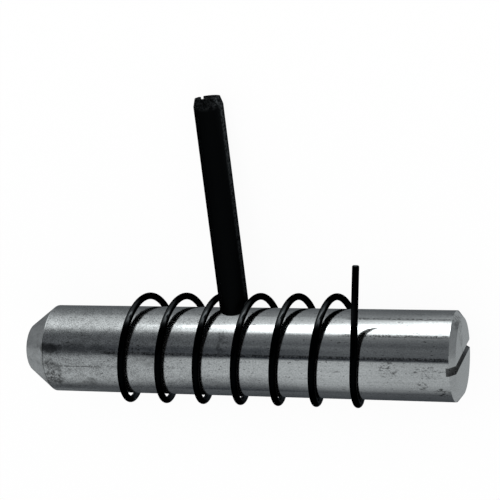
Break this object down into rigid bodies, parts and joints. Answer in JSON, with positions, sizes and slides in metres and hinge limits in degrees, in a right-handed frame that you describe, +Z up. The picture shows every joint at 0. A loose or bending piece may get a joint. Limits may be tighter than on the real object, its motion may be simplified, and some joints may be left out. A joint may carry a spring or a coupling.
{
  "type": "locking pin",
  "caption": "Spring locking pin: a steel shaft with a coned nose and a slotted tail, a roll pin handle across it and a loose left-hand wire spring round it.",
  "frame": {"origin": "centre of the nose's flat end, on the shaft's axis", "axes": "+X along the shaft's axis from nose to tail, +Z up as the pin lies, with the handle towards +Y"},
  "size_m": [0.0812, 0.0565, 0.0203],
  "materials": {
    "drawn_steel": "bright drawn, worn",
    "black_oxide": "satin black",
    "black_wire": "gloss black"
  },
  "bodies": {
    "root": {"shaft": "drawn_steel", "pin_handle": "black_oxide", "spring": "black_wire"}
  },
  "joints": []
}
